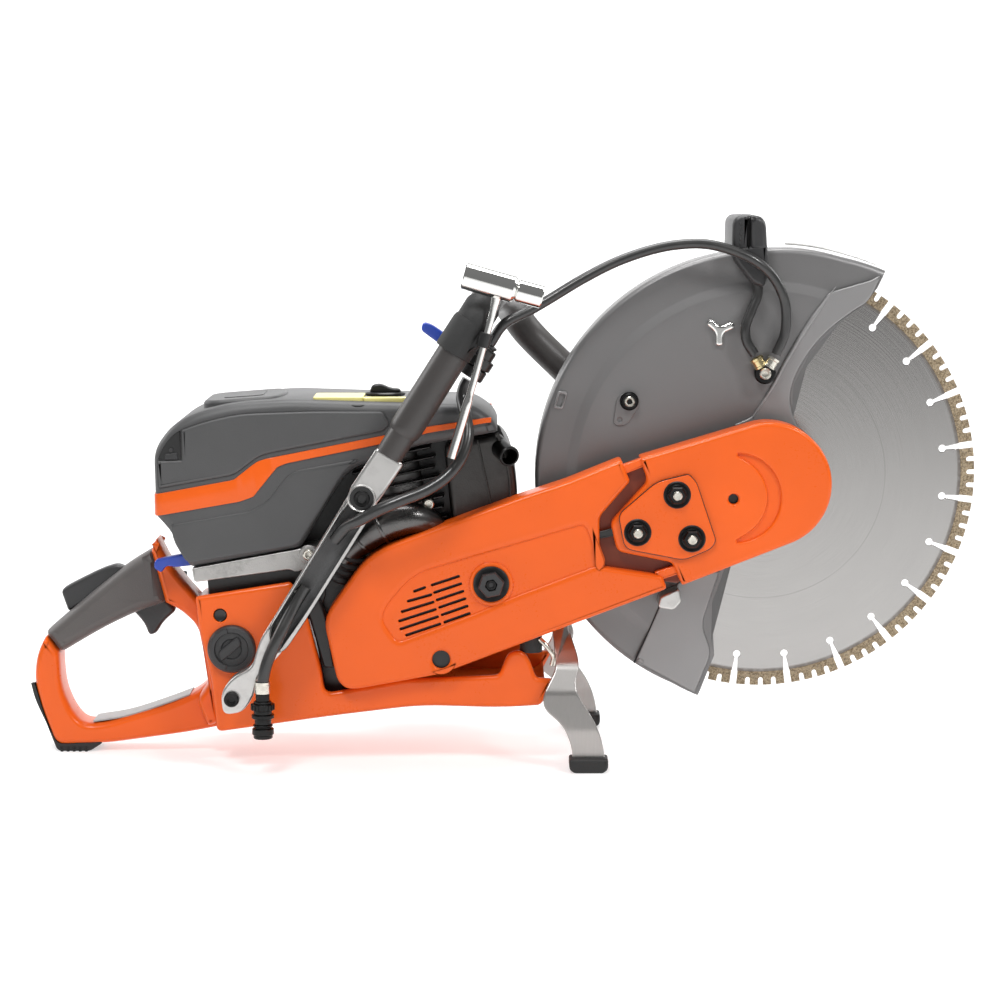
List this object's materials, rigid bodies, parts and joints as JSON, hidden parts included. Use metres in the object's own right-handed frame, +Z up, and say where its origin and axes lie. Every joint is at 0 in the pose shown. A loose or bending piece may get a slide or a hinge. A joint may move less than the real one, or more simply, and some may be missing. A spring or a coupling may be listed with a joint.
{
  "type": "concrete cut-off saw",
  "caption": "Hand-held petrol cut-off saw with a diamond blade, tilting guard, belt drive, front and rear handles and water feed.",
  "frame": {"origin": "centre of the underside: the middle of the saw's box in X and Y, on the plane that its feet stand on, measured without the guard's water hose and the inlet hose", "axes": "+X forwards to the blade, +Y to the machine's left (the starter side), +Z up"},
  "size_m": [0.771, 0.2358, 0.4395],
  "materials": {
    "orange_plastic": "gloss moulded orange",
    "dark_plastic": "fine-grained dark grey",
    "grip_rubber": "soft satin warm grey",
    "rubber": "matt black",
    "hose_rubber": "smooth glossy black",
    "blue_plastic": "satin blue",
    "bare_aluminium": "cast, lightly shot-blasted",
    "dark_casting": "dark, heat-resistant coat",
    "steel": "brushed",
    "blade_steel": "ground, with a bronze-coloured rim",
    "guard_paint": "satin grey coat",
    "chrome": "polished",
    "black_steel": "black oxide",
    "plated_brass": "pale plated",
    "filter_foam": "pleated paper and foam",
    "rope": "braided"
  },
  "bodies": {
    "frame": {"cutting_arm": "bare_aluminium", "drive_belt": "rubber", "belt_guard_rear": "orange_plastic", "belt_guard_front": "orange_plastic", "clamp_plate": "orange_plastic", "arm_nut_1": "black_steel", "arm_nut_2": "black_steel", "arm_nut_3": "black_steel", "crankcase": "dark_casting", "cylinder": "dark_casting", "spark_plug": "chrome", "piston": "bare_aluminium", "muffler": "dark_casting", "air_duct": "hose_rubber", "engine_cover": "dark_plastic", "filter_base": "bare_aluminium", "air_filter": "filter_foam", "carburettor": "bare_aluminium", "starter_housing": "orange_plastic", "starter_rope": "rope", "tank_frame": "orange_plastic", "rear_foot_pad": "rubber", "rear_grip": "grip_rubber", "front_handle_tube": "bare_aluminium", "front_grip_sleeve": "grip_rubber", "valve_clamp": "dark_plastic", "valve_body": "dark_plastic", "handle_arm": "bare_aluminium", "hose_feed": "hose_rubber", "hose_guard": "hose_rubber", "hose_inlet": "hose_rubber", "hose_connector": "black_steel", "front_stand": "steel", "foot_pad_right": "rubber", "foot_pad_left": "rubber"},
    "blade_assembly": {"blade": "blade_steel", "flange_inner": "steel", "flange_outer": "steel", "blade_bolt": "black_steel", "spindle": "steel", "driven_pulley": "steel"},
    "crank_assembly": {"crankshaft": "steel", "flywheel": "bare_aluminium", "clutch_drum": "steel"},
    "guard": {"blade_guard": "guard_paint", "guard_handle": "dark_plastic", "nozzle": "plated_brass", "hose_bridge": "hose_rubber"},
    "trigger": {"throttle_trigger": "dark_plastic"},
    "lockout": {"throttle_lockout": "dark_plastic"},
    "choke": {"choke_lever": "blue_plastic"},
    "water_lever": {"valve_lever": "blue_plastic"},
    "tank_cap": {"fuel_cap": "dark_plastic"},
    "stop_slider": {"stop_switch": "dark_plastic"},
    "pull_handle": {"starter_handle": "dark_plastic"},
    "recoil_pulley": {"starter_pulley": "dark_plastic"},
    "decompressor": {"decompression_button": "blue_plastic"},
    "filter_knob": {"cover_knob": "dark_plastic"},
    "tensioner": {"belt_tensioner": "black_steel"},
    "key": {"combination_key": "chrome"}
  },
  "joints": [
    {"name": "blade_spin", "type": "hinge", "parent": "frame", "child": "blade_assembly", "pos_m": [0.21051, -0.00151, 0.228], "axis": [0, 1, 0], "continuous": true},
    {"name": "crank_spin", "type": "hinge", "parent": "frame", "child": "crank_assembly", "pos_m": [-0.06449, -0.00151, 0.13], "axis": [0, 1, 0], "continuous": true},
    {"name": "guard_tilt", "type": "hinge", "parent": "frame", "child": "guard", "pos_m": [0.21051, -0.00151, 0.228], "axis": [0, 1, 0], "range_deg": [-28, 38], "deforming": ["hose_guard"]},
    {"name": "throttle_trigger", "type": "hinge", "parent": "frame", "child": "trigger", "pos_m": [-0.27949, -0.00151, 0.124], "axis": [0, 1, 0], "range_deg": [0, 14], "stiffness_Nm_per_rad": 0.3, "springref_deg": -14.32},
    {"name": "throttle_lockout", "type": "hinge", "parent": "frame", "child": "lockout", "pos_m": [-0.31449, -0.00151, 0.1475], "axis": [0, -1, 0], "range_deg": [0, 8], "stiffness_Nm_per_rad": 0.4, "springref_deg": -11.46},
    {"name": "choke_pull", "type": "slide", "parent": "frame", "child": "choke", "axis": [-1, 0, 0], "range_m": [0, 0.012]},
    {"name": "water_valve", "type": "hinge", "parent": "frame", "child": "water_lever", "pos_m": [-0.019, -0.06751, 0.32583], "axis": [-0.5353, 0, -0.8447], "range_deg": [0, 90]},
    {"name": "fuel_cap_twist", "type": "hinge", "parent": "frame", "child": "tank_cap", "pos_m": [-0.21749, -0.06951, 0.095], "axis": [0, -1, 0], "range_deg": [0, 90]},
    {"name": "stop_switch", "type": "slide", "parent": "frame", "child": "stop_slider", "axis": [1, 0, 0], "range_m": [0, 0.006]},
    {"name": "starter_pull", "type": "slide", "parent": "frame", "child": "pull_handle", "axis": [0, 0, 1], "range_m": [0, 0.6], "stiffness_N_per_m": 12, "springref_m": -0.1, "deforming": ["starter_rope"]},
    {"name": "recoil_pulley", "type": "hinge", "parent": "frame", "child": "recoil_pulley", "pos_m": [-0.06449, 0.09049, 0.13], "axis": [0, 1, 0], "range_deg": [0, 1230]},
    {"name": "decompression_press", "type": "slide", "parent": "frame", "child": "decompressor", "axis": [0, -1, 0], "range_m": [0, 0.004], "stiffness_N_per_m": 800, "springref_m": -0.002},
    {"name": "filter_knob_turn", "type": "hinge", "parent": "frame", "child": "filter_knob", "pos_m": [-0.09549, -0.01151, 0.2946], "axis": [0, 0, 1], "range_deg": [0, 90]},
    {"name": "tensioner_turn", "type": "hinge", "parent": "frame", "child": "tensioner", "pos_m": [-0.00949, -0.08151, 0.149], "axis": [0, -1, 0], "range_deg": [0, 90]},
    {"name": "key_unclip", "type": "slide", "parent": "frame", "child": "key", "axis": [0, -1, 0], "range_m": [0, 0.04]}
  ],
  "couplings": [
    {"joint": "crank_spin", "follows": "blade_spin", "ratio": 2},
    {"joint": "recoil_pulley", "follows": "starter_pull", "rad_per_m": 35.714}
  ]
}
